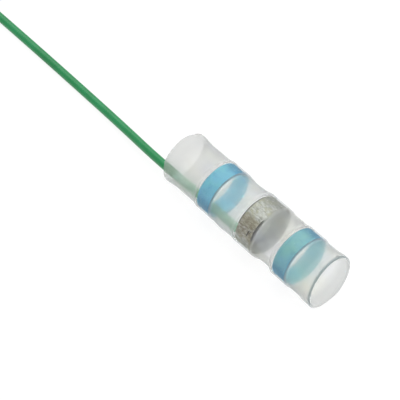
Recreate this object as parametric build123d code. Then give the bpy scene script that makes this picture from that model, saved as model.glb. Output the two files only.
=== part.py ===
# Solder seal wire connector, lying on its side with its fitted lead
# Millimetres. X runs along the sleeve towards its open front mouth, Z is up.
import os
from math import cos, pi, radians, sin, tan

from build123d import *

# Heat-shrink sleeve, outside radii, distances along it from its rear end
sleeve_length = 25.5
sleeve_wall = 0.30
rear_mouth_radius = 3.50
rear_land_length = 0.3
rear_flare_length = 1.9
rear_neck_radius = 3.33
rear_waist_radius = 3.43
front_waist_radius = 3.35
front_neck_radius = 3.46
front_flare_length = 1.1
front_land_length = 0.6
front_mouth_radius = 3.60
seat_margin = 0.12
seal_shoulder_length = 0.5
solder_shoulder_length = 1.1
front_cut_tilt = 5.0
front_cut_bearing = 27.5

# Blue sealing rings
rear_seal_radius = 3.19
front_seal_radius = 3.28
seal_ring_wall = 0.30
seal_ring_width = 2.28
seal_ring_chamfer = 0.07
rear_seal_inset = 5.93
front_seal_inset = 4.05
shrink_gap = 0.01

# Solder ring and the small crease in its outside
solder_ring_radius = 3.28
solder_ring_wall = 0.51
solder_ring_width = 2.70
solder_ring_chamfer = 0.10
solder_ring_past_middle = 1.37
crease_depth = 0.11
crease_width = 0.12
crease_length = 0.95
crease_from_front = 0.87
crease_bearing = 155.5
crease_slant = -8.0

# Stranded conductor, bedded against the solder ring's bore
strand_diameter = 0.16
strand_gap = 0.005
strand_layers = 2
conductor_clearance = 0.03
conductor_bearing = 215.0
conductor_end_margin = 0.35

# Insulated lead
lead_diameter = 1.10
insulation_end_gap = 0.42
lead_first_run = 2.45
arc_share = 0.45

# Route of the lead: x from the rear end, y, and z from the sleeve's axis in the bore, then from the
# surface that the connector lies on
lead_in_bore = [
    (5.0, -1.78, -1.44),
    (0.5, -1.70, -1.73),
]
lead_outside = [
    (-4.2, -1.49, 1.45),
    (-9.5, -0.99, 0.84),
    (-15.5, -0.71, 0.55),
    (-23.5, -0.60, 0.55),
    (-31.0, -0.55, 0.55),
    (-37.0, -0.55, 0.55),
]

# Oval coil of the length that is put away: long runs and round folds, wound in layers
coil_front_end = -38.0
coil_run = 20.0
coil_fold_radius = 3.3
coil_runs = 3
coil_last_run = 17.0
coil_layers = 2
coil_layer_gap = 0.02
coil_edge_chamfer = 0.4

# Tape tie round the middle of the coil, which its turns rise over
tie_width = 2.6
tie_thickness = 0.06
tie_clearance = 0.01
tie_corner_radius = 0.5

# Worked-out places
front_overhang = front_mouth_radius * tan(radians(front_cut_tilt))
beyond_cut = sleeve_length + 2 * front_overhang
rear_end_x = -(sleeve_length + front_overhang) / 2
rear_seal_start = rear_seal_inset
front_seal_start = sleeve_length - front_seal_inset - seal_ring_width
solder_ring_start = sleeve_length / 2 + solder_ring_past_middle - solder_ring_width / 2
solder_ring_end = solder_ring_start + solder_ring_width
lead_radius = lead_diameter / 2
coil_height = coil_layers * lead_diameter + (coil_layers - 1) * coil_layer_gap
tie_lift = tie_thickness + tie_clearance
insulation_end = solder_ring_start - insulation_end_gap


def sleeve_lands():
    """The sleeve's even stretches, as (start, end, outside radius), measured from its rear end."""
    rear_seat, solder_seat, front_seat = [
        radius + shrink_gap + sleeve_wall
        for radius in (rear_seal_radius, solder_ring_radius, front_seal_radius)
    ]
    rear_low = rear_seal_start - seat_margin
    rear_high = rear_seal_start + seal_ring_width + seat_margin
    solder_low = solder_ring_start - seat_margin
    solder_high = solder_ring_end + seat_margin
    front_low = front_seal_start - seat_margin
    front_high = front_seal_start + seal_ring_width + seat_margin
    front_land = sleeve_length - front_overhang - front_land_length
    return [
        (0, rear_land_length, rear_mouth_radius),
        (rear_land_length + rear_flare_length, rear_low - seal_shoulder_length, rear_neck_radius),
        (rear_low, rear_high, rear_seat),
        (rear_high + seal_shoulder_length, solder_low - solder_shoulder_length, rear_waist_radius),
        (solder_low, solder_high, solder_seat),
        (solder_high + solder_shoulder_length, front_low - seal_shoulder_length, front_waist_radius),
        (front_low, front_high, front_seat),
        (front_high + seal_shoulder_length, front_land - front_flare_length, front_neck_radius),
        (front_land, beyond_cut, front_mouth_radius),
    ]


axis_height = max(radius for _, _, radius in sleeve_lands())
to_part_frame = Pos(rear_end_x, 0, axis_height)


def sleeve_side(inset):
    """One side of the sleeve's wall: its even stretches, the tapers between them and the two flares."""
    flats = [Line((start, radius - inset), (end, radius - inset)) for start, end, radius in sleeve_lands()]
    rear_flare, *shoulders, front_flare = [(low @ 1, high @ 0) for low, high in zip(flats, flats[1:])]
    tapers = [Line(*ends) for ends in shoulders]
    flares = [Spline(*ends, tangents=((1, 0), (1, 0))) for ends in (rear_flare, front_flare)]
    return flats + tapers + flares


def make_sleeve():
    """One tube of even wall, shrunk over the rings, with its front mouth cut obliquely."""
    mouths = [(0, rear_mouth_radius), (beyond_cut, front_mouth_radius)]
    ends = [Line((x, radius), (x, radius - sleeve_wall)) for x, radius in mouths]
    tube = revolve(make_face(sleeve_side(0) + sleeve_side(sleeve_wall) + ends), Axis.X)
    tilt = radians(front_cut_tilt)
    bearing = radians(front_cut_bearing)
    cut_normal = (cos(tilt), sin(tilt) * cos(bearing), sin(tilt) * sin(bearing))
    front_cut = Plane(origin=(sleeve_length, 0, 0), z_dir=cut_normal)
    return to_part_frame * split(tube, bisect_by=front_cut, keep=Keep.BOTTOM)


def make_ring(start, width, radius, wall, edge_chamfer):
    """A plain ring on the sleeve's axis, with its four edges broken."""
    ring = Cylinder(radius, width) - Cylinder(radius - wall, width)
    ring = chamfer(ring.edges().filter_by(GeomType.CIRCLE), edge_chamfer)
    return Pos(start + width / 2, 0, 0) * Rot(0, 90, 0) * ring


def make_seal_ring(start, radius):
    ring = make_ring(start, seal_ring_width, radius, seal_ring_wall, seal_ring_chamfer)
    return to_part_frame * ring


def make_solder_ring():
    """The solder ring, with the crease as a shallow slanted nick."""
    ring = make_ring(
        solder_ring_start, solder_ring_width, solder_ring_radius, solder_ring_wall, solder_ring_chamfer
    )
    nick = Rot(0, crease_slant, 0) * Box(crease_width, 2 * crease_depth, crease_length)
    nick = Rot(crease_bearing, 0, 0) * Pos(0, solder_ring_radius, 0) * nick
    return to_part_frame * (ring - Pos(solder_ring_end - crease_from_front, 0, 0) * nick)


def strand_places():
    """Centres of the strands about the conductor's own axis, in layers of 1, 6 and 12."""
    pitch = strand_diameter + strand_gap
    places = [(0, 0)]
    for layer in range(1, strand_layers + 1):
        count = 6 * layer
        for number in range(count):
            turn = 2 * pi * number / count
            places.append((layer * pitch * cos(turn), layer * pitch * sin(turn)))
    return places


def conductor_place():
    """Where the conductor's axis runs across the bore, from the sleeve's axis."""
    conductor_radius = strand_layers * (strand_diameter + strand_gap) + strand_diameter / 2
    bore_radius = solder_ring_radius - solder_ring_wall
    reach = bore_radius - conductor_radius - conductor_clearance
    bearing = radians(conductor_bearing)
    return reach * cos(bearing), reach * sin(bearing)


def make_conductor():
    """The stripped strands, from the insulation's end to near the solder ring's front face."""
    axis_y, axis_z = conductor_place()
    length = solder_ring_end - conductor_end_margin - insulation_end
    strand = Rot(0, 90, 0) * Cylinder(strand_diameter / 2, length)
    middle = insulation_end + length / 2
    strands = [Pos(middle, axis_y + y, axis_z + z) * strand for y, z in strand_places()]
    return to_part_frame * Compound(strands)


def corner_radii(points):
    """Arc radii for the route's corners, each arc as large as its two runs allow."""
    radii = []
    for before, corner, after in zip(points, points[1:], points[2:]):
        run_in = corner - before
        run_out = after - corner
        half_turn = radians(run_in.get_angle(run_out)) / 2
        radii.append(arc_share * min(run_in.length, run_out.length) / tan(half_turn))
    return radii


def lead_route():
    """The lead's points in the part's frame, starting along the conductor's axis."""
    axis_y, axis_z = conductor_place()
    start = (insulation_end, axis_y, axis_z)
    second = (insulation_end - lead_first_run, axis_y, axis_z)
    held = [(x, y, axis_height + z) for x, y, z in [start, second] + lead_in_bore]
    return [Vector(rear_end_x + x, y, z) for x, y, z in held + lead_outside]


def make_lead(points):
    """The insulated lead as one round tube, from the bore to the coil."""
    radii = corner_radii(points)
    path = FilletPolyline(*points, radius=radii)
    section = Plane(origin=path @ 0, z_dir=path % 0) * Circle(lead_radius)
    tube = sweep(section, path=path)
    expected = pi * lead_radius**2 * path.length
    print("lead radii", [round(radius, 1) for radius in radii])
    print("lead length", round(path.length, 2), "volume", round(tube.volume, 3), "of", round(expected, 3))
    print("whole lead", round(path.length + coil_length(points[-1]), 1))
    return tube


def coil_fold_x():
    """Where the coil's front fold meets the straight end that the lead comes in by."""
    return rear_end_x + coil_front_end - lead_radius - coil_fold_radius


def coil_length(entry):
    """Length of the lead that the coil holds."""
    folds = coil_runs * pi * coil_fold_radius
    return entry.X - coil_fold_x() + coil_runs * coil_run + folds + coil_last_run


def coil_place(entry):
    """The middle of the coil, on the surface that it lies on."""
    return Pos(coil_fold_x() - coil_run / 2, entry.Y + coil_fold_radius, 0)


def make_coil(entry):
    """The outer shape of the oval coil, with the short straight end that the lead comes in by."""
    outer = SlotCenterToCenter(coil_run, 2 * (coil_fold_radius + lead_radius))
    inner = SlotCenterToCenter(coil_run, 2 * (coil_fold_radius - lead_radius))
    turns = extrude(outer - inner, coil_height)
    turns = chamfer(turns.edges().filter_by(Plane.XY), coil_edge_chamfer)
    tied_slice = Box(tie_width + 2 * tie_clearance, 4 * coil_fold_radius, 2 * coil_height)
    turns = turns - tied_slice + Pos(0, 0, tie_lift) * (turns & tied_slice)
    fold_x = coil_fold_x()
    reach = entry.X - fold_x
    straight = Pos(fold_x + reach / 2, entry.Y, entry.Z) * Rot(0, 90, 0) * Cylinder(lead_radius, reach)
    return coil_place(entry) * turns + straight


def make_tie(entry):
    """The strip of tape round the coil's two runs."""
    held_width = 2 * (coil_fold_radius + lead_radius + tie_clearance)
    held_height = coil_height + 2 * tie_clearance
    hole = RectangleRounded(held_height, held_width, tie_corner_radius - tie_thickness)
    outline = RectangleRounded(
        held_height + 2 * tie_thickness, held_width + 2 * tie_thickness, tie_corner_radius
    )
    strip = extrude(outline - hole, tie_width / 2, both=True)
    return coil_place(entry) * Pos(0, 0, tie_thickness + held_height / 2) * Rot(0, 90, 0) * strip


def main():
    os.makedirs("parts", exist_ok=True)
    route = lead_route()
    parts = {
        "sleeve": make_sleeve(),
        "rear_seal_ring": make_seal_ring(rear_seal_start, rear_seal_radius),
        "front_seal_ring": make_seal_ring(front_seal_start, front_seal_radius),
        "solder_ring": make_solder_ring(),
        "lead_conductor": make_conductor(),
        "lead_wire": make_lead(route),
        "lead_coil": make_coil(route[-1]),
        "coil_tie": make_tie(route[-1]),
    }
    for name, shape in parts.items():
        export_step(shape, f"parts/{name}.step")
    print("rear end x", round(rear_end_x, 4), "axis height", axis_height)


main()
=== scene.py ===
# Solder seal wire connector with its fitted lead, on a white light table
import math

import bpy
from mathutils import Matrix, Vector, noise


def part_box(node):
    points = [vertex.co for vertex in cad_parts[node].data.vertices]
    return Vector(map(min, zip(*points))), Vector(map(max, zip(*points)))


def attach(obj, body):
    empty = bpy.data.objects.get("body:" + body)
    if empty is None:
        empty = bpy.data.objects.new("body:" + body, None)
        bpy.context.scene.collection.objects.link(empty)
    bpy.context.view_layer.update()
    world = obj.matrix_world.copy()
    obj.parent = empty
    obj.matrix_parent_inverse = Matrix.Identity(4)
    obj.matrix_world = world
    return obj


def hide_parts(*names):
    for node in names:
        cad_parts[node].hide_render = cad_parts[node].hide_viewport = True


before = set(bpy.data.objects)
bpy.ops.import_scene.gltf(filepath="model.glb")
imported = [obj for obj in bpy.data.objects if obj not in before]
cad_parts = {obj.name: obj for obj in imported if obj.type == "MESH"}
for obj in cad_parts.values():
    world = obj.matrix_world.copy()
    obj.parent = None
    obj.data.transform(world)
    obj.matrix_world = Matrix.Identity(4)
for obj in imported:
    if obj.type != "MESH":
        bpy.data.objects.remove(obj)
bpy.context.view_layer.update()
bpy.ops.object.select_all(action="DESELECT")

# The pieces' lengths are in millimetres, and places along the tube count from its rear end. A cloud's
# scale is per metre. Bearings go round the tube's axis, in degrees from +Y up towards +Z.
mm = 0.001
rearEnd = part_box("sleeve")[0].x
axisHeight = 3.6 * mm
upBearing, nearBearing, farBearing = 27.5, 117.5, 297.5  # as the photo sees the tube


# Shader maths: one socket of a finish, and sums on it add Math nodes
class Signal:
    def __init__(self, finish, socket):
        self.finish = finish
        self.socket = socket

    def maths(self, operation, *values):
        return self.finish.node("ShaderNodeMath", {"operation": operation}, dict(enumerate(values)))

    def __add__(self, other):
        return self.maths("ADD", self, other)

    def __radd__(self, other):
        return self.maths("ADD", other, self)

    def __sub__(self, other):
        return self.maths("SUBTRACT", self, other)

    def __rsub__(self, other):
        return self.maths("SUBTRACT", other, self)

    def __mul__(self, other):
        return self.maths("MULTIPLY", self, other)

    def __rmul__(self, other):
        return self.maths("MULTIPLY", other, self)

    def __or__(self, other):  # whichever mask is stronger
        return self.maths("MAXIMUM", self, other)

    def __abs__(self):
        return self.maths("ABSOLUTE", self)


class Finish:
    def __init__(self, name):
        self.material = bpy.data.materials.new(name)
        self.material.use_nodes = True
        self.tree = self.material.node_tree
        self.surface = self.tree.nodes["Principled BSDF"]

    def node(self, kind, settings=None, inputs=None, out=0):
        made = self.tree.nodes.new(kind)
        for key, value in (settings or {}).items():
            if key == "stops":
                self.setStops(made.color_ramp, value)
            else:
                setattr(made, key, value)
        for key, value in (inputs or {}).items():
            self.feed(made.inputs[key], value)
        return Signal(self, made.outputs[out])

    def setStops(self, ramp, stops):
        while len(ramp.elements) < len(stops):
            ramp.elements.new(0.5)
        for element, (place, colour) in zip(ramp.elements, stops):
            element.position = place
            element.color = colour

    def feed(self, socket, value):
        if isinstance(value, Signal):
            self.tree.links.new(value.socket, socket)
        else:
            socket.default_value = value

    def dress(self, inputs):
        for key, value in inputs.items():
            self.feed(self.surface.inputs[key], value)

    def place(self):
        return self.node("ShaderNodeTexCoord", out="Object")

    def parts(self, vector):
        split = self.node("ShaderNodeSeparateXYZ", inputs={0: vector})
        return [Signal(self, split.socket.node.outputs[axis]) for axis in "XYZ"]

    def cloud(self, vector, scale, detail=2.0, roughness=0.5):
        return self.node("ShaderNodeTexNoise", inputs={
            "Vector": vector, "Scale": scale, "Detail": detail, "Roughness": roughness})

    def drawnCloud(self, vector, scales, detail=3.0, roughness=0.5):  # a scale for each axis
        drawn = self.node("ShaderNodeVectorMath", {"operation": "MULTIPLY"}, {0: vector, 1: scales})
        return self.cloud(drawn, 1.0, detail, roughness)

    def ramp(self, value, *stops):
        return self.node("ShaderNodeValToRGB", {"stops": stops}, {0: value})

    def span(self, value, low, high, toLow=0.0, toHigh=1.0):
        return self.node("ShaderNodeMapRange", {"interpolation_type": "SMOOTHSTEP"}, {
            "Value": value, "From Min": low, "From Max": high,
            "To Min": toLow, "To Max": toHigh})

    def spread(self, cloud, toLow, toHigh):  # over a cloud's usual values
        return self.span(cloud, 0.3, 0.7, toLow, toHigh)

    def blend(self, share, first, second):
        return self.node("ShaderNodeMix", {"data_type": "RGBA"}, {0: share, 6: first, 7: second}, out=2)

    def bump(self, height, strength, depth):
        return self.node("ShaderNodeBump", inputs={
            "Strength": strength, "Distance": depth * mm, "Height": height})

    def facing(self, place, bearing, radius):  # 1 where the tube faces the bearing, 0 a quarter turn off
        _, y, z = self.parts(place)
        turn = math.radians(bearing)
        return y * (math.cos(turn) / radius) + (z - axisHeight) * (math.sin(turn) / radius)

    def fromAxis(self, place):
        _, y, z = self.parts(place)
        up = z - axisHeight
        return self.node("ShaderNodeMath", {"operation": "SQRT"}, {0: y * y + up * up})

    def bandAt(self, x, middle, narrow, wide):  # 1 within narrow of a place along the tube, 0 beyond wide
        return self.span(abs(x - middle), narrow, wide, 1.0, 0.0)

    def bandOver(self, x, low, high, margins):  # 1 from low to high, fading between two margins outwards
        half = (high - low) / 2
        narrow, wide = [half + margin * mm for margin in margins]
        return self.bandAt(x, (low + high) / 2, narrow, wide)


def colour(red, green, blue):  # screen values of 0 to 255, as linear light
    def linear(v):
        v = v / 255
        return v / 12.92 if v <= 0.04045 else ((v + 0.055) / 1.055) ** 2.4
    return (linear(red), linear(green), linear(blue), 1.0)


# Places on the tube
def along(x):
    return rearEnd + x * mm


def outward(point):  # straight away from the tube's axis
    return Vector((0, point.y, point.z - axisHeight)).normalized()


def under(radius, depths):  # how far from the axis, at each depth under a radius
    return [radius - depth * mm for depth in depths]


# Shaping helpers
def editMode(on=True):
    bpy.ops.object.mode_set(mode="EDIT" if on else "OBJECT")


def pickOnly(piece):
    bpy.ops.object.select_all(action="DESELECT")
    piece.select_set(True)
    bpy.context.view_layer.objects.active = piece


def applyModifier(piece, kind, **settings):
    pickOnly(piece)
    modifier = piece.modifiers.new(kind.lower(), kind)
    for key, value in settings.items():
        setattr(modifier, key, value)
    bpy.ops.object.modifier_apply(modifier=modifier.name)


def giveWall(piece, thickness):  # inwards from its surface
    applyModifier(piece, "SOLIDIFY", thickness=thickness * mm, offset=-1.0, use_even_offset=True)


def roundRims(piece, width, segments, sharpest=50.0):
    applyModifier(piece, "BEVEL", width=width * mm, segments=segments, limit_method="ANGLE",
                  angle_limit=math.radians(sharpest))


def settle(piece, name):  # its place goes into its mesh, and its object to the origin
    pickOnly(piece)
    bpy.ops.object.transform_apply(location=True, rotation=True, scale=True)
    piece.name = name
    piece.data.name = name


def softShade(piece, sharpest=40.0):
    pickOnly(piece)
    bpy.ops.object.shade_smooth_by_angle(angle=math.radians(sharpest))


def openCircle(name, segments, radius, x):  # round the tube's axis, to be drawn out along it
    bpy.ops.mesh.primitive_circle_add(
        vertices=segments, radius=radius * mm, fill_type="NOTHING",
        location=(along(x), 0, axisHeight), rotation=(0, math.pi / 2, 0))
    circle = bpy.context.object
    settle(circle, name)
    return circle


def drawOut(length):  # draws what is selected out along the tube
    bpy.ops.mesh.extrude_region_move(TRANSFORM_OT_translate={"value": (length * mm, 0, 0)})


def closeEdit():
    bpy.ops.mesh.select_all(action="SELECT")
    bpy.ops.mesh.normals_make_consistent(inside=False)
    editMode(False)


def smoothStep(value, low, high):
    share = min(1.0, max(0.0, (value - low) / (high - low)))
    return share * share * (3 - 2 * share)


def between(stops, x):  # a smooth line through (x, value) stops
    if x <= stops[0][0]:
        return stops[0][1]
    for (lowX, low), (highX, high) in zip(stops, stops[1:]):
        if x <= highX:
            return low + (high - low) * smoothStep(x, lowX, highX)
    return stops[-1][1]


def dressPiece(piece, finish, slot, *nodes):
    piece.data.materials.clear()
    piece.data.materials.append(finish)
    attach(piece, "root")
    if nodes:
        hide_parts(*nodes)


# Sleeve: heat-shrink tube, drawn out station by station, its last stretch leaning to an oblique mouth
sleeve = {
    "lands": [  # its even stretches: start, end and outside radius
        (0.0, 0.3, 3.50), (2.2, 5.31, 3.33), (5.81, 8.33, 3.50), (8.83, 11.55, 3.43),
        (12.65, 15.59, 3.59), (16.69, 18.55, 3.35), (19.05, 21.57, 3.59), (22.07, 23.485, 3.46),
        (24.585, 25.5, 3.60),
    ],
    "landStep": 0.8,
    "slopeSteps": 5,
    "segments": 96,
    "wall": 0.20,
    "length": 25.5,
    "meanRadius": 3.5,
    "lipRound": 0.04,
    "lipSteps": 2,
    "cutTilt": 5.0,
    "cutBearing": upBearing,
    "cutLead": 1.5,  # how much of each end takes the lean and the dips
    "dips": [  # where the rims were cut back a little: bearing, depth at the rear, depth at the front
        (200.0, 0.30, 0.0), (38.0, 0.16, 0.0), (244.0, 0.0, 0.20),
    ],
    "dipReach": 0.6,
    "photoUp": (0, 0.887, 0.461),
    "sideShift": [(8.4, 0.0), (10.2, -0.14), (12.6, 0.0), (15.8, 0.0), (17.6, 0.10), (19.1, 0.0)],
    "held": [(7.07, 1.3), (14.12, 1.5), (20.31, 1.3)],  # by the rings: middle and half the width
    "unevenness": 0.014,
    "waveAlong": 0.35,
    "waveRound": 1.3,
    "waveSeed": 7.0,
    "waveRise": 0.8,
    # Its milky wall
    "castTints": [
        (0.34, colour(227, 228, 234)), (0.5, colour(232, 232, 228)), (0.68, colour(233, 232, 219)),
    ],
    "driftScales": (160, 320, 320),
    "grainScales": (500, 1500, 1500),
    "clearShare": 0.74,
    "cover": (0.42, 0.46),
    "sleeveGloss": 0.3,
    "sleeveRough": (0.68, 0.73),
    "refraction": 1.20,
    "bumpStrength": 0.05,
    "bumpDepth": 0.01,
    "wallTint": colour(186, 194, 196),
    "wallDensity": 300.0,
    # Painted shade: greyer at its ends and along its flanks
    "endShadeTint": colour(188, 189, 186),
    "endShare": 0.9,
    "rearEnding": (1.4, 4.2),
    "frontEnding": (23.0, 24.4),
    "farFade": (-0.1, 0.5),
    "flankShadeShare": 0.6,
    "flankFade": (0.55, 0.98),
    # Clearer over each ring, and a painted highlight just beside it
    "ringNodes": ("rear_seal_ring", "solder_ring", "front_seal_ring"),
    "seatCover": 0.66,
    "seatMargins": (-0.06, 0.08),
    "highlightWhite": colour(244, 242, 242),
    "highlightShare": 0.45,
    "highlightCover": 0.10,
    "highlightBeside": 0.26,
    "highlightReach": (0.0, 0.36),
    "highlightBreaks": (0.35, 0.6, 0.45, 1.0),
    # Painted shade along its lips, strongest on the near side
    "lipShadeTint": colour(160, 172, 174),
    "lipShare": 0.9,
    "lipCover": 0.35,
    "lipReach": 0.24,
    "lipFade": 1.5,
    "nearFade": (-0.3, 0.3),
    "farLip": 0.3,
    "rearLip": 0.08,
}


def sleeveStations():
    stations = []
    for number, (start, end, radius) in enumerate(sleeve["lands"]):
        steps = math.ceil((end - start) / sleeve["landStep"])
        stations += [(start + (end - start) * step / steps, radius) for step in range(steps + 1)]
        for nextStart, _, nextRadius in sleeve["lands"][number + 1:number + 2]:
            for step in range(1, sleeve["slopeSteps"] + 1):
                share = step / (sleeve["slopeSteps"] + 1)
                stations.append((end + (nextStart - end) * share,
                                 radius + (nextRadius - radius) * smoothStep(share, 0.0, 1.0)))
    return stations


def cutNormal():
    tilt, bearing = math.radians(sleeve["cutTilt"]), math.radians(sleeve["cutBearing"])
    return math.cos(tilt), math.sin(tilt) * math.cos(bearing), math.sin(tilt) * math.sin(bearing)


def unevenSleeve(point):  # bowed, out of true where no ring holds it, and its ends leaning and dipping
    x = (point.x - rearEnd) / mm
    out = outward(point)
    free = min(abs(x - middle) - half for middle, half in sleeve["held"])
    wave = noise.noise(Vector((x * sleeve["waveAlong"], out.y * sleeve["waveRound"],
                               out.z * sleeve["waveRound"] + sleeve["waveSeed"])))
    shift = Vector(sleeve["photoUp"]) * between(sleeve["sideShift"], x) * mm
    normalX, normalY, normalZ = cutNormal()
    across = point.y * normalY + (point.z - axisHeight) * normalZ
    rearRise = 1.0 - smoothStep(x, 0.0, sleeve["cutLead"])
    frontRise = smoothStep(x, sleeve["length"] - sleeve["cutLead"], sleeve["length"])
    shift.x -= across / normalX * frontRise
    for bearing, rearDepth, frontDepth in sleeve["dips"]:
        turn = math.radians(bearing)
        near = smoothStep(out.y * math.cos(turn) + out.z * math.sin(turn), sleeve["dipReach"], 1.0)
        shift.x += (rearDepth * rearRise - frontDepth * frontRise) * near * mm
    return (point + out * wave * sleeve["unevenness"] * mm * smoothStep(free, 0.0, sleeve["waveRise"])
            + shift)


def makeSleeve():
    stations = sleeveStations()
    tube = openCircle("sleeveTube", sleeve["segments"], stations[0][1], stations[0][0])
    editMode()
    bpy.ops.mesh.select_all(action="SELECT")
    for (x, radius), (nextX, nextRadius) in zip(stations, stations[1:]):
        drawOut(nextX - x)
        share = nextRadius / radius
        bpy.ops.transform.resize(value=(1, share, share), center_override=(along(nextX), 0, axisHeight))
    closeEdit()
    applyModifier(tube, "SUBSURF", levels=1, render_levels=1)
    for vertex in tube.data.vertices:
        vertex.co = unevenSleeve(vertex.co)
    giveWall(tube, sleeve["wall"])
    roundRims(tube, sleeve["lipRound"], sleeve["lipSteps"])
    softShade(tube)
    return tube


def makeSleeveFinish():
    finish = Finish("milkySleeve")
    place = finish.place()
    x, y, z = finish.parts(place)

    def facing(bearing):
        return finish.facing(place, bearing, sleeve["meanRadius"] * mm)

    drift = finish.drawnCloud(place, sleeve["driftScales"])
    grain = finish.drawnCloud(place, sleeve["grainScales"])
    # Painted highlight just beside each ring's ends, broken up by the grain, and a clearer wall over the
    # rings
    besideHighlight, seats = 0.0, 0.0
    beside = sleeve["highlightBeside"] * mm
    narrow, wide = [reach * mm for reach in sleeve["highlightReach"]]
    for node in sleeve["ringNodes"]:
        low, high = [corner.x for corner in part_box(node)]
        besideHighlight = (finish.bandAt(x, low - beside, narrow, wide)
                  + finish.bandAt(x, high + beside, narrow, wide) + besideHighlight)
        seats = finish.bandOver(x, low, high, sleeve["seatMargins"]) + seats
    besideHighlight = besideHighlight * finish.span(grain, *sleeve["highlightBreaks"])
    normalX, normalY, normalZ = cutNormal()
    pastCut = (x - along(sleeve["length"])) * normalX + y * normalY + (z - axisHeight) * normalZ
    # Painted shade along the front lip, strongest on the near side, and faintly along the rear lip
    lipReach, lipEnd = sleeve["lipReach"] * mm, sleeve["lipReach"] * mm * sleeve["lipFade"]
    nearSide = finish.span(facing(nearBearing), *sleeve["nearFade"], sleeve["farLip"], 1.0)
    frontLip = finish.span(pastCut, -lipEnd, -lipReach) * nearSide
    rearLip = finish.span(x, rearEnd + lipReach, rearEnd + lipEnd, sleeve["rearLip"], 0.0)
    lip = frontLip | rearLip
    farSide = finish.span(facing(farBearing), *sleeve["farFade"])
    # Painted shade: greyer towards both ends, at the front end on its far side only, and along both flanks
    rearEnding = finish.span(x, *map(along, sleeve["rearEnding"]), 1.0, 0.0)
    frontEnding = finish.span(x, *map(along, sleeve["frontEnding"])) * farSide
    shadedEnds = rearEnding | frontEnding
    shadedFlanks = finish.span(abs(facing(upBearing)), *sleeve["flankFade"])
    body = finish.ramp(drift, *sleeve["castTints"])
    paintedShade = (shadedEnds * sleeve["endShare"]) | (shadedFlanks * sleeve["flankShadeShare"])
    body = finish.blend(paintedShade, body, sleeve["endShadeTint"])
    body = finish.blend(besideHighlight * sleeve["highlightShare"], body, sleeve["highlightWhite"])
    body = finish.blend(lip * sleeve["lipShare"], body, sleeve["lipShadeTint"])
    cover = finish.spread(drift, *sleeve["cover"])
    finish.dress({
        "Base Color": body,
        "Roughness": finish.spread(grain, *sleeve["sleeveRough"]),
        "Transmission Weight": sleeve["clearShare"],
        "Specular IOR Level": sleeve["sleeveGloss"],
        "IOR": sleeve["refraction"],
        "Alpha": (cover * (1.0 - seats * sleeve["seatCover"]) + besideHighlight * sleeve["highlightCover"]
                  + lip * sleeve["lipCover"]),
        "Normal": finish.bump(grain, sleeve["bumpStrength"], sleeve["bumpDepth"]),
    })
    absorb = finish.node("ShaderNodeVolumeAbsorption", inputs={
        "Color": sleeve["wallTint"], "Density": sleeve["wallDensity"]})
    finish.tree.links.new(absorb.socket, finish.tree.nodes["Material Output"].inputs["Volume"])
    return finish.material


# Sealing rings: short lengths of blue tube, a little uneven at their ends
sealRings = {
    "wall": 0.30,
    "steps": 6,
    "segments": 96,
    "edgeRound": 0.15,
    "edgeSteps": 3,
    "swell": 0.09,
    "endWave": 0.06,
    "waveRound": 1.6,
    "rearSeed": 3.0,
    "frontSeed": 17.0,
    "rearTints": [
        (0.34, colour(108, 186, 216)), (0.5, colour(114, 194, 214)), (0.66, colour(118, 200, 206)),
    ],
    "frontTints": [
        (0.34, colour(116, 180, 198)), (0.5, colour(122, 186, 194)), (0.66, colour(126, 190, 188)),
    ],
    "driftScales": (500, 500, 500),
    # Painted light: the bores are tinted lighter and brighter than the outsides
    "rearLitBore": colour(90, 214, 246),
    "frontLitBore": colour(112, 208, 218),
    "skinDepths": (0.12, 0.06),  # between them the bore's tint gives way to the outside's
    "deepBlue": colour(18, 128, 168),
    "blotchScales": (1300, 1900, 1900),
    "blotchFade": (0.48, 0.66),
    "blotchShare": 0.22,
    # Painted shade: both flanks deepened towards the dark blue
    "flankBearing": 24.0,
    "flankFade": (0.55, 1.0),
    "flankShadeShare": 0.85,
    "ringEdgeTint": colour(52, 110, 138),
    "ringEdgeShare": 0.8,
    "ringEdgeReach": 0.08,
    "sealRough": 0.5,
    "sealGlow": 0.6,
    "sealDepth": 0.6,
    "bumpStrength": 0.3,
    "bumpDepth": 0.04,
}


def ringShell(name, ring, node, seed):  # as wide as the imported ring, and larger by its swell
    low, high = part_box(node)
    start, width = (low.x - rearEnd) / mm, (high.x - low.x) / mm
    shell = openCircle(name, ring["segments"], (high.z - low.z) / 2 / mm + ring["swell"], start)
    editMode()
    bpy.ops.mesh.select_all(action="SELECT")
    for _ in range(ring["steps"]):
        drawOut(width / ring["steps"])
    closeEdit()
    middle, half = (low.x + high.x) / 2, (high.x - low.x) / 2
    for vertex in shell.data.vertices:
        out = outward(vertex.co)
        side = (vertex.co.x - middle) / half
        wave = noise.noise(Vector((seed + side, out.y * ring["waveRound"], out.z * ring["waveRound"])))
        vertex.co.x -= abs(side) * side * abs(wave) * ring["endWave"] * mm
    giveWall(shell, ring["wall"] + ring["swell"])
    roundRims(shell, ring["edgeRound"], ring["edgeSteps"])
    return shell


def makeSealRing(name, node, seed):
    shell = ringShell(name, sealRings, node, seed)
    softShade(shell)
    return shell


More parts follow.
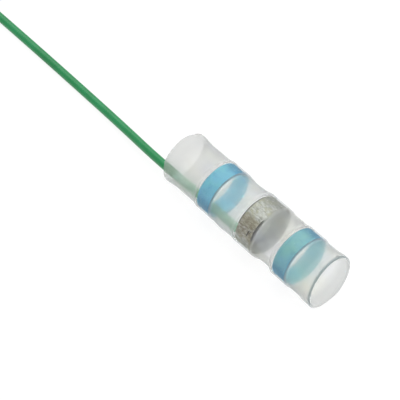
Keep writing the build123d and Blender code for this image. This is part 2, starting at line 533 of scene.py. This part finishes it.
def makeSealFinish(name, node, tints, litBore):
    finish = Finish(name)
    place = finish.place()
    x = finish.parts(place)[0]
    low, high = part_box(node)
    outside = (high.z - low.z) / 2
    drift = finish.drawnCloud(place, sealRings["driftScales"], roughness=0.55)
    blotch = finish.drawnCloud(place, sealRings["blotchScales"], roughness=0.6)
    blotches = finish.span(blotch, *sealRings["blotchFade"])
    flank = abs(finish.facing(place, sealRings["flankBearing"], outside))
    shadedFlanks = finish.span(flank, *sealRings["flankFade"])
    skin = finish.span(finish.fromAxis(place), *under(outside, sealRings["skinDepths"]))
    reach = sealRings["ringEdgeReach"] * mm
    edges = (finish.bandAt(x, low.x, reach, reach * 2) | finish.bandAt(x, high.x, reach, reach * 2)) * skin
    body = finish.ramp(drift, *tints)
    body = finish.blend(blotches * sealRings["blotchShare"], body, sealRings["deepBlue"])
    # Painted shade on both flanks
    body = finish.blend(shadedFlanks * sealRings["flankShadeShare"], body, sealRings["deepBlue"])
    # Painted light inside the bore
    body = finish.blend(skin, litBore, body)
    finish.dress({
        "Base Color": finish.blend(edges * sealRings["ringEdgeShare"], body, sealRings["ringEdgeTint"]),
        "Roughness": sealRings["sealRough"],
        "Subsurface Weight": sealRings["sealGlow"],
        "Subsurface Radius": (1.0, 1.0, 1.0),
        "Subsurface Scale": sealRings["sealDepth"] * mm,
        "Normal": finish.bump(drift, sealRings["bumpStrength"], sealRings["bumpDepth"]),
    })
    return finish.material


# Solder ring: dull grey, pitted, with a brown flux coat on one side and small creases
solder = {
    "wall": 0.51,
    "steps": 14,
    "segments": 160,
    "edgeRound": 0.10,
    "edgeSteps": 3,
    "swell": 0.08,
    "endWave": 0.06,
    "waveRound": 1.6,
    "seed": 31.0,
    "pitting": 0.006,
    "pitLevel": 0.8,
    "pitScale": 3.0,
    "finePitScale": 7.0,
    "finePitShare": 0.5,
    "creases": [  # from the front face, bearing, slant, length, width, depth
        (0.87, 153.5, -8.0, 0.95, 0.16, 0.13),
        (0.60, 148.0, -14.0, 0.50, 0.08, 0.09),
    ],
    # Its outside, streaked and patched with olive, and with painted shade on its flanks
    "greys": [(0.40, colour(152, 155, 146)), (0.5, colour(182, 185, 178)), (0.60, colour(208, 211, 205))],
    "streakScales": (1600, 4600, 4600),
    "olive": colour(176, 177, 152),
    "oliveFade": (0.45, 0.58),
    "oliveShare": 0.8,
    "patchScales": (560, 560, 560),
    "skinDepths": (0.35, 0.2),  # between them the bore's tint gives way to the outside's
    "boreGreys": [(0.43, colour(146, 146, 158)), (0.57, colour(214, 218, 214))],
    "boreShare": 0.85,
    "smearScales": (1000, 1300, 1300),
    "flankPaintedShade": colour(128, 132, 124),
    "flankBearing": 36.0,
    "flankFade": (0.6, 1.0),
    "flankShadeShare": 0.6,
    "solderMetal": 0.25,
    "solderRough": (0.62, 0.42),
    "bumpStrength": 0.5,
    "bumpDepth": 0.04,
    # Flux coat, its edge ragged by the patches and thinner where the streaks are pale
    "flux": colour(124, 112, 86),
    "fluxBearing": 148.0,
    "fluxFade": (0.84, 0.99),
    "fluxRagged": 0.3,
    "fluxThin": (0.42, 0.58, 1.0, 0.45),
    "fluxShare": 0.8,
    # Painted shadow lines at both ends, the front one tapering, and a painted glint beside it
    "edgeShadow": colour(34, 34, 30),
    "frontShadowBearing": 137.0,
    "frontShadowFade": (0.84, 0.96),
    "frontShadowWidth": 0.25,
    "frontShadowSoft": 0.1,
    "rearShadowBearing": 107.0,
    "rearShadowFade": (0.72, 0.90),
    "rearShadowPlace": 0.10,
    "rearShadowReach": (0.03, 0.08),
    "glint": colour(250, 250, 246),
    "glintBearing": 119.0,
    "glintFade": (0.76, 0.82),
    "glintReach": (0.12, 0.2),
    "glintDepths": (0.36, 0.26),
    # Painted shade inside its creases
    "creasePaintedShade": colour(44, 40, 32),
    "creaseShare": 0.9,
    "creaseDepths": (0.06, 0.035),
    "creaseMargins": (-0.25, -0.15),
}


def makeSolderRing():
    shell = ringShell("solderBand", solder, "solder_ring", solder["seed"])
    for vertex in shell.data.vertices:
        place = vertex.co / mm
        pit = (noise.noise(place * solder["pitScale"])
               + solder["finePitShare"] * noise.noise(place * solder["finePitScale"]))
        vertex.co += outward(vertex.co) * (pit - solder["pitLevel"]) * solder["pitting"] * mm
    low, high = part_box("solder_ring")
    radius = (high.z - low.z) / 2 + solder["swell"] * mm
    for fromFront, bearing, slant, length, width, depth in solder["creases"]:
        bpy.ops.mesh.primitive_cube_add(size=1.0, location=(0, 0, 0))
        nick = bpy.context.object
        nick.scale = (width * mm, 2 * depth * mm, length * mm)
        nick.rotation_euler = (0, math.radians(slant), 0)
        nick.location = (0, radius, 0)
        settle(nick, "nick")
        nick.rotation_euler = (math.radians(bearing), 0, 0)
        nick.location = (high.x - fromFront * mm, 0, axisHeight)
        settle(nick, "nick")
        applyModifier(shell, "BOOLEAN", operation="DIFFERENCE", object=nick, solver="EXACT")
        bpy.data.objects.remove(nick)
    print("solder ring faces", len(shell.data.polygons))
    softShade(shell)
    return shell


def makeSolderFinish():
    finish = Finish("dullSolder")
    place = finish.place()
    x = finish.parts(place)[0]
    low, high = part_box("solder_ring")
    radius = (high.z - low.z) / 2
    fromAxis = finish.fromAxis(place)

    def facing(bearing):
        return finish.facing(place, bearing, radius)

    streak = finish.drawnCloud(place, solder["streakScales"], 4.0, 0.65)
    patch = finish.drawnCloud(place, solder["patchScales"], roughness=0.6)
    smear = finish.drawnCloud(place, solder["smearScales"], roughness=0.6)
    skin = finish.span(fromAxis, *under(radius, solder["skinDepths"]))
    olives = finish.span(patch, *solder["oliveFade"]) * solder["oliveShare"] * skin
    shadedFlanks = finish.span(abs(facing(solder["flankBearing"])), *solder["flankFade"])
    ragged = facing(solder["fluxBearing"]) + (patch - 0.5) * solder["fluxRagged"]
    flux = finish.span(ragged, *solder["fluxFade"]) * finish.span(streak, *solder["fluxThin"])
    # Painted shadow lines along both ends
    taper = finish.span(facing(solder["frontShadowBearing"]), *solder["frontShadowFade"])
    frontEdgeShadow = finish.span(abs(x - high.x) - taper * solder["frontShadowWidth"] * mm,
                            -solder["frontShadowSoft"] * mm, 0.0, 1.0, 0.0)
    rearEdgeShadow = (finish.bandAt(x, low.x + solder["rearShadowPlace"] * mm,
                              *[reach * mm for reach in solder["rearShadowReach"]])
                * finish.span(facing(solder["rearShadowBearing"]), *solder["rearShadowFade"]))
    # Painted highlight: a glint by the front end, on the bore's side
    glint = (finish.bandAt(x, high.x, *[reach * mm for reach in solder["glintReach"]])
             * finish.span(fromAxis, *under(radius, solder["glintDepths"]), 1.0, 0.0)
             * finish.span(facing(solder["glintBearing"]), *solder["glintFade"]))
    # Painted shade inside the creases
    top = radius + solder["swell"] * mm
    creaseShadeMask = (finish.span(fromAxis, *under(top, solder["creaseDepths"]), 1.0, 0.0) * skin
               * finish.bandOver(x, low.x, high.x, solder["creaseMargins"]))
    body = finish.ramp(streak, *solder["greys"])
    body = finish.blend(olives, body, solder["olive"])
    body = finish.blend((1.0 - skin) * solder["boreShare"], body, finish.ramp(smear, *solder["boreGreys"]))
    # Painted shade on both flanks
    body = finish.blend(shadedFlanks * solder["flankShadeShare"], body, solder["flankPaintedShade"])
    body = finish.blend(flux * solder["fluxShare"], body, solder["flux"])
    body = finish.blend(creaseShadeMask * solder["creaseShare"], body, solder["creasePaintedShade"])
    body = finish.blend(frontEdgeShadow | rearEdgeShadow, body, solder["edgeShadow"])
    body = finish.blend(glint, body, solder["glint"])
    finish.dress({
        "Base Color": body,
        "Metallic": solder["solderMetal"],
        "Roughness": finish.spread(streak, *solder["solderRough"]),
        "Normal": finish.bump(streak, solder["bumpStrength"], solder["bumpDepth"]),
    })
    return finish.material


# Lead: one cord from the solder ring to the end of its oval coil, with the strands at both ends
lead = {
    "diameter": 1.10,
    "inBore": [(12.35, -1.909, -1.336), (9.90, -1.909, -1.336), (5.0, -1.78, -1.44), (0.5, -1.70, -1.73)],
    "outside": [(-4.2, -1.49, 1.45), (-9.5, -0.99, 0.84), (-15.5, -0.71, 0.55), (-23.5, -0.60, 0.55),
                (-31.0, -0.55, 0.55), (-37.0, -0.55, 0.55)],
    "exit": (0.0, -1.69, 1.88),
    "length": 162.4,
    "roundness": 6,
    "smoothness": 8,
    "driftScale": 420.0,
    "grainScale": 5200.0,
    "greens": [(0.3, colour(18, 124, 66)), (0.5, colour(22, 132, 74)), (0.7, colour(26, 140, 82))],
    "leadRough": (0.27, 0.37),
    "bumpStrength": 0.12,
    "bumpDepth": 0.02,
    # Paler inside the sleeve: painted light standing in for the haze of the milky wall over it
    "heldTints": [(1.0, colour(176, 224, 204)), (4.5, colour(116, 186, 142)), (9.5, colour(160, 212, 186))],
    "heldShare": 0.72,
    "heldRise": 1.0,
}
coil = {
    "frontEnd": -38.0,
    "run": 20.0,
    "foldRadius": 3.3,
    "lastRun": 17.0,
    "lastGap": 0.5,
    "layerRise": 1.12,
    "foldPoints": 6,
    "runPoints": (0.06, 0.38, 0.5, 0.62, 0.94),
    "climb": (0.08, 0.30, 0.56, 0.82, 0.97, 1.0),
    "overTie": 0.07,
}
strands = {
    "diameter": 0.16,
    "gap": 0.005,
    "layers": 2,
    "lay": 9.0,
    "fusedEnd": 15.12,
    "step": 0.3,
    "atCut": 0.06,
    "inside": 0.30,
    "roundness": 2,
    "smoothness": 2,
    "tinScale": 3000.0,
    "tins": [(0.35, colour(172, 170, 166)), (0.65, colour(214, 214, 212))],
    "strandRough": (0.24, 0.36),
}


def coilPlace():  # its front fold's middle, its near run's side, and the height of each layer
    frontX = coil["frontEnd"] - lead["diameter"] / 2 - coil["foldRadius"]
    low, high = lead["diameter"] / 2, lead["diameter"] / 2 + coil["layerRise"]
    return frontX, lead["outside"][-1][1], low, high


def coilPoints():
    frontX, nearY, low, high = coilPlace()
    rearX = frontX - coil["run"]
    lastX = rearX + coil["lastRun"]
    farY = nearY + 2 * coil["foldRadius"]
    points = []

    def addRun(y, z, startX, endX):
        for share in coil["runPoints"]:
            lift = coil["overTie"] if share == 0.5 else 0.0  # at its middle it lies on the tie
            points.append((startX + (endX - startX) * share, y, z + lift))

    def addFold(x, heights):  # clockwise from above, its line a polygon round the fold's circle
        step = math.pi / coil["foldPoints"]
        reach = coil["foldRadius"] / math.cos(step / 2)
        middleY = nearY + coil["foldRadius"]
        first = math.pi / 2 if x == frontX else -math.pi / 2
        for number, z in enumerate(heights):
            angle = first - step * (number + 0.5)
            points.append((x + reach * math.cos(angle), middleY + reach * math.sin(angle), z))

    addRun(nearY, low, frontX, rearX)
    addFold(rearX, [low] * coil["foldPoints"])
    addRun(farY, low, rearX, frontX)
    addFold(frontX, [low + coil["layerRise"] * share for share in coil["climb"]])
    addRun(nearY, high, frontX, rearX)
    addFold(rearX, [high] * coil["foldPoints"])
    addRun(farY, high, rearX, frontX)
    while points[-1][0] > lastX - coil["lastGap"]:
        points.pop()
    points.append((lastX, farY, high))
    return points


def leadPoints():
    held = [(x, y, z + axisHeight / mm) for x, y, z in lead["inBore"]]
    return [(along(x), y * mm, z * mm) for x, y, z in held + lead["outside"] + coilPoints()]


def roundCurve(name, diameter, roundness):
    curve = bpy.data.curves.new(name, "CURVE")
    curve.dimensions = "3D"
    curve.bevel_depth = diameter / 2 * mm
    curve.bevel_resolution = roundness
    curve.use_fill_caps = True
    piece = bpy.data.objects.new(name, curve)
    bpy.context.scene.collection.objects.link(piece)
    return piece


def addSpline(piece, points, resolution):  # its order comes after its points, which would undo it
    spline = piece.data.splines.new("NURBS")
    spline.points.add(len(points) - 1)
    for slot, point in zip(spline.points, points):
        slot.co = (*point, 1.0)
    spline.order_u = 3
    spline.use_endpoint_u = True
    spline.resolution_u = resolution


def makeCord():
    cord = roundCurve("leadCord", lead["diameter"], lead["roundness"])
    addSpline(cord, leadPoints(), lead["smoothness"])
    return cord


def makeStrands(name, start, end, middleY, middleZ):  # a twisted bundle along X
    bundle = roundCurve(name, strands["diameter"], strands["roundness"])
    pitch = strands["diameter"] + strands["gap"]
    steps = max(2, round((end - start) / strands["step"]))
    places = [(0.0, 0.0)]  # one strand, six round it, twelve round those
    for layer in range(1, strands["layers"] + 1):
        places += [(layer * pitch, 2 * math.pi * number / (6 * layer)) for number in range(6 * layer)]
    for reach, turn in places:
        points = []
        for number in range(steps + 1):
            x = start + (end - start) * number / steps
            angle = turn + 2 * math.pi * (x - start) / strands["lay"]
            points.append((along(x), (middleY + reach * math.cos(angle)) * mm,
                           (middleZ + reach * math.sin(angle)) * mm))
        addSpline(bundle, points, strands["smoothness"])
    pickOnly(bundle)
    bpy.ops.object.convert(target="MESH")
    bundle = bpy.context.object
    bundle.name = name
    for face in bundle.data.polygons:
        face.use_smooth = len(face.vertices) == 4
    return bundle


def makeInsulationFinish():
    finish = Finish("greenInsulation")
    place = finish.place()
    x = finish.parts(place)[0]
    drift = finish.cloud(place, lead["driftScale"], 3.0)
    grain = finish.cloud(place, lead["grainScale"])
    # Painted light: paler inside the sleeve, standing in for the milky wall's haze
    held = finish.span(x, rearEnd, along(lead["heldRise"]))
    heldEnd = lead["inBore"][0][0]
    inSleeve = finish.node("ShaderNodeMapRange", inputs={
        "Value": x, "From Min": rearEnd, "From Max": along(heldEnd)})
    heldTint = finish.ramp(inSleeve, *[(at / heldEnd, tint) for at, tint in lead["heldTints"]])
    green = finish.ramp(drift, *lead["greens"])
    finish.dress({
        "Base Color": finish.blend(held * lead["heldShare"], green, heldTint),
        "Roughness": finish.spread(grain, *lead["leadRough"]),
        "Normal": finish.bump(grain, lead["bumpStrength"], lead["bumpDepth"]),
    })
    return finish.material


def makeStrandFinish():
    finish = Finish("tinnedStrand")
    drift = finish.cloud(finish.place(), strands["tinScale"], 3.0)
    finish.dress({
        "Base Color": finish.ramp(drift, *strands["tins"]),
        "Metallic": 1.0,
        "Roughness": finish.spread(drift, *strands["strandRough"]),
    })
    return finish.material


# Tie: a strip of off-white crepe tape round the middle of the coil
tie = {
    "width": 2.6,
    "steps": 4,
    "thickness": 0.06,
    "cornerRound": 0.5,
    "cornerSteps": 6,
    "clearance": 0.01,
    "papers": [(0.3, colour(210, 207, 200)), (0.7, colour(232, 230, 224))],
    "crepeScales": (900, 6000, 6000),
    "tieRough": 0.7,
    "bumpStrength": 0.3,
    "bumpDepth": 0.03,
}


def makeTie():
    frontX, nearY, _, high = coilPlace()
    halfWide = coil["foldRadius"] + lead["diameter"] / 2 + tie["clearance"] + tie["thickness"]
    top = high + lead["diameter"] / 2 + coil["overTie"] + tie["clearance"] + tie["thickness"]
    startX = frontX - coil["run"] / 2 - tie["width"] / 2
    bpy.ops.mesh.primitive_plane_add(size=1.0, location=(0, 0, 0), rotation=(0, math.pi / 2, 0))
    band = bpy.context.object
    band.scale = (top * mm, 2 * halfWide * mm, 1.0)
    band.location = (along(startX), (nearY + coil["foldRadius"]) * mm, top / 2 * mm)
    settle(band, "coilTie")
    editMode()
    bpy.ops.mesh.select_all(action="SELECT")
    bpy.ops.mesh.bevel(offset=tie["cornerRound"] * mm, segments=tie["cornerSteps"], affect="VERTICES")
    bpy.ops.mesh.delete(type="ONLY_FACE")
    bpy.ops.mesh.select_all(action="SELECT")
    for _ in range(tie["steps"]):
        drawOut(tie["width"] / tie["steps"])
    closeEdit()
    giveWall(band, tie["thickness"])
    softShade(band)
    return band


def makeTieFinish():
    finish = Finish("tieTape")
    crepe = finish.drawnCloud(finish.place(), tie["crepeScales"], 2.0)
    finish.dress({
        "Base Color": finish.ramp(crepe, *tie["papers"]),
        "Roughness": tie["tieRough"],
        "Normal": finish.bump(crepe, tie["bumpStrength"], tie["bumpDepth"]),
    })
    return finish.material


sleeveTube = makeSleeve()
dressPiece(sleeveTube, makeSleeveFinish(), "sleeve", "sleeve")
print("sleeve drawn")

rearSealBand = makeSealRing("rearSealBand", "rear_seal_ring", sealRings["rearSeed"])
rearFinish = makeSealFinish("rearSealant", "rear_seal_ring", sealRings["rearTints"], sealRings["rearLitBore"])
dressPiece(rearSealBand, rearFinish, "seal_ring", "rear_seal_ring")
frontSealBand = makeSealRing("frontSealBand", "front_seal_ring", sealRings["frontSeed"])
frontFinish = makeSealFinish("frontSealant", "front_seal_ring", sealRings["frontTints"],
                             sealRings["frontLitBore"])
dressPiece(frontSealBand, frontFinish, "seal_ring", "front_seal_ring")
solderBand = makeSolderRing()
dressPiece(solderBand, makeSolderFinish(), "solder", "solder_ring")
print("rings placed")

strandFinish = makeStrandFinish()
heldX, heldY, heldZ = lead["inBore"][0]
leadStrands = makeStrands("leadStrands", heldX - strands["inside"], strands["fusedEnd"], heldY,
                          heldZ + axisHeight / mm)
dressPiece(leadStrands, strandFinish, "conductor", "lead_conductor")
endX, endY, endZ = coilPoints()[-1]
cutStrands = makeStrands("cutStrands", endX - strands["inside"], endX + strands["atCut"], endY, endZ)
dressPiece(cutStrands, strandFinish, "conductor")
coilTie = makeTie()
dressPiece(coilTie, makeTieFinish(), "tape", "coil_tie")
leadCord = makeCord()
dressPiece(leadCord, makeInsulationFinish(), "insulation", "lead_wire", "lead_coil")
exitX, exitY, exitZ = lead["exit"]
along(exitX)
exitY * mm
exitZ * mm
lead["length"] * mm
lead["diameter"] * mm
print("lead laid and tied")


# Light table, light and camera, placed in metres
studio = {
    "tableSide": 1.6,
    "tableScale": 6.0,
    "tableGreys": [(0.0, (0.14, 0.14, 0.14, 1.0)), (1.0, (0.16, 0.16, 0.16, 1.0))],
    "tableRough": 0.9,
    "tableGlow": 0.89,
    "white": (1.0, 1.0, 1.0, 1.0),
    "skyStrength": 0.65,
    "keyPlace": (-0.25, 0.5, 1.3),
    "keySide": 2.0,
    "keyPower": 17.0,
    "cameraPlace": (0.128567, -0.125088, 0.238187),
    "cameraForward": (-0.455155, 0.411042, -0.789860),
    "lens": 223.74,
    "sensorWidth": 36.0,
    "nearest": 0.01,
    "farthest": 10.0,
}


def aimed(direction):
    return Vector(direction).to_track_quat("-Z", "Y").to_euler()


def makeTable():
    bpy.ops.mesh.primitive_plane_add(size=studio["tableSide"], location=(0, 0, 0))
    table = bpy.context.object
    table.name = "table"
    finish = Finish("lightTable")
    cloud = finish.cloud(finish.place(), studio["tableScale"])
    finish.dress({
        "Base Color": finish.ramp(cloud, *studio["tableGreys"]),
        "Roughness": studio["tableRough"],
        "Specular IOR Level": 0.0,
        "Emission Color": studio["white"],
        "Emission Strength": studio["tableGlow"],
    })
    table.data.materials.append(finish.material)


def makeLight():
    world = bpy.data.worlds.new("sky")
    bpy.context.scene.world = world
    world.use_nodes = True
    sky = world.node_tree.nodes["Background"]
    sky.inputs["Color"].default_value = studio["white"]
    sky.inputs["Strength"].default_value = studio["skyStrength"]
    lamp = bpy.data.lights.new("softBox", "AREA")
    lamp.shape = "SQUARE"
    lamp.size = studio["keySide"]
    lamp.energy = studio["keyPower"]
    key = bpy.data.objects.new("softBox", lamp)
    bpy.context.scene.collection.objects.link(key)
    key.location = studio["keyPlace"]
    key.rotation_euler = aimed(-Vector(studio["keyPlace"]))


def makeCamera():
    eye = bpy.data.cameras.new("camera")
    eye.lens = studio["lens"]
    eye.sensor_width = studio["sensorWidth"]
    eye.clip_start = studio["nearest"]
    eye.clip_end = studio["farthest"]
    camera = bpy.data.objects.new("camera", eye)
    bpy.context.scene.collection.objects.link(camera)
    camera.location = studio["cameraPlace"]
    camera.rotation_euler = aimed(studio["cameraForward"])
    bpy.context.scene.camera = camera


makeTable()
makeLight()
makeCamera()
bpy.context.scene.view_settings.view_transform = "Standard"
print("table, light and camera set")
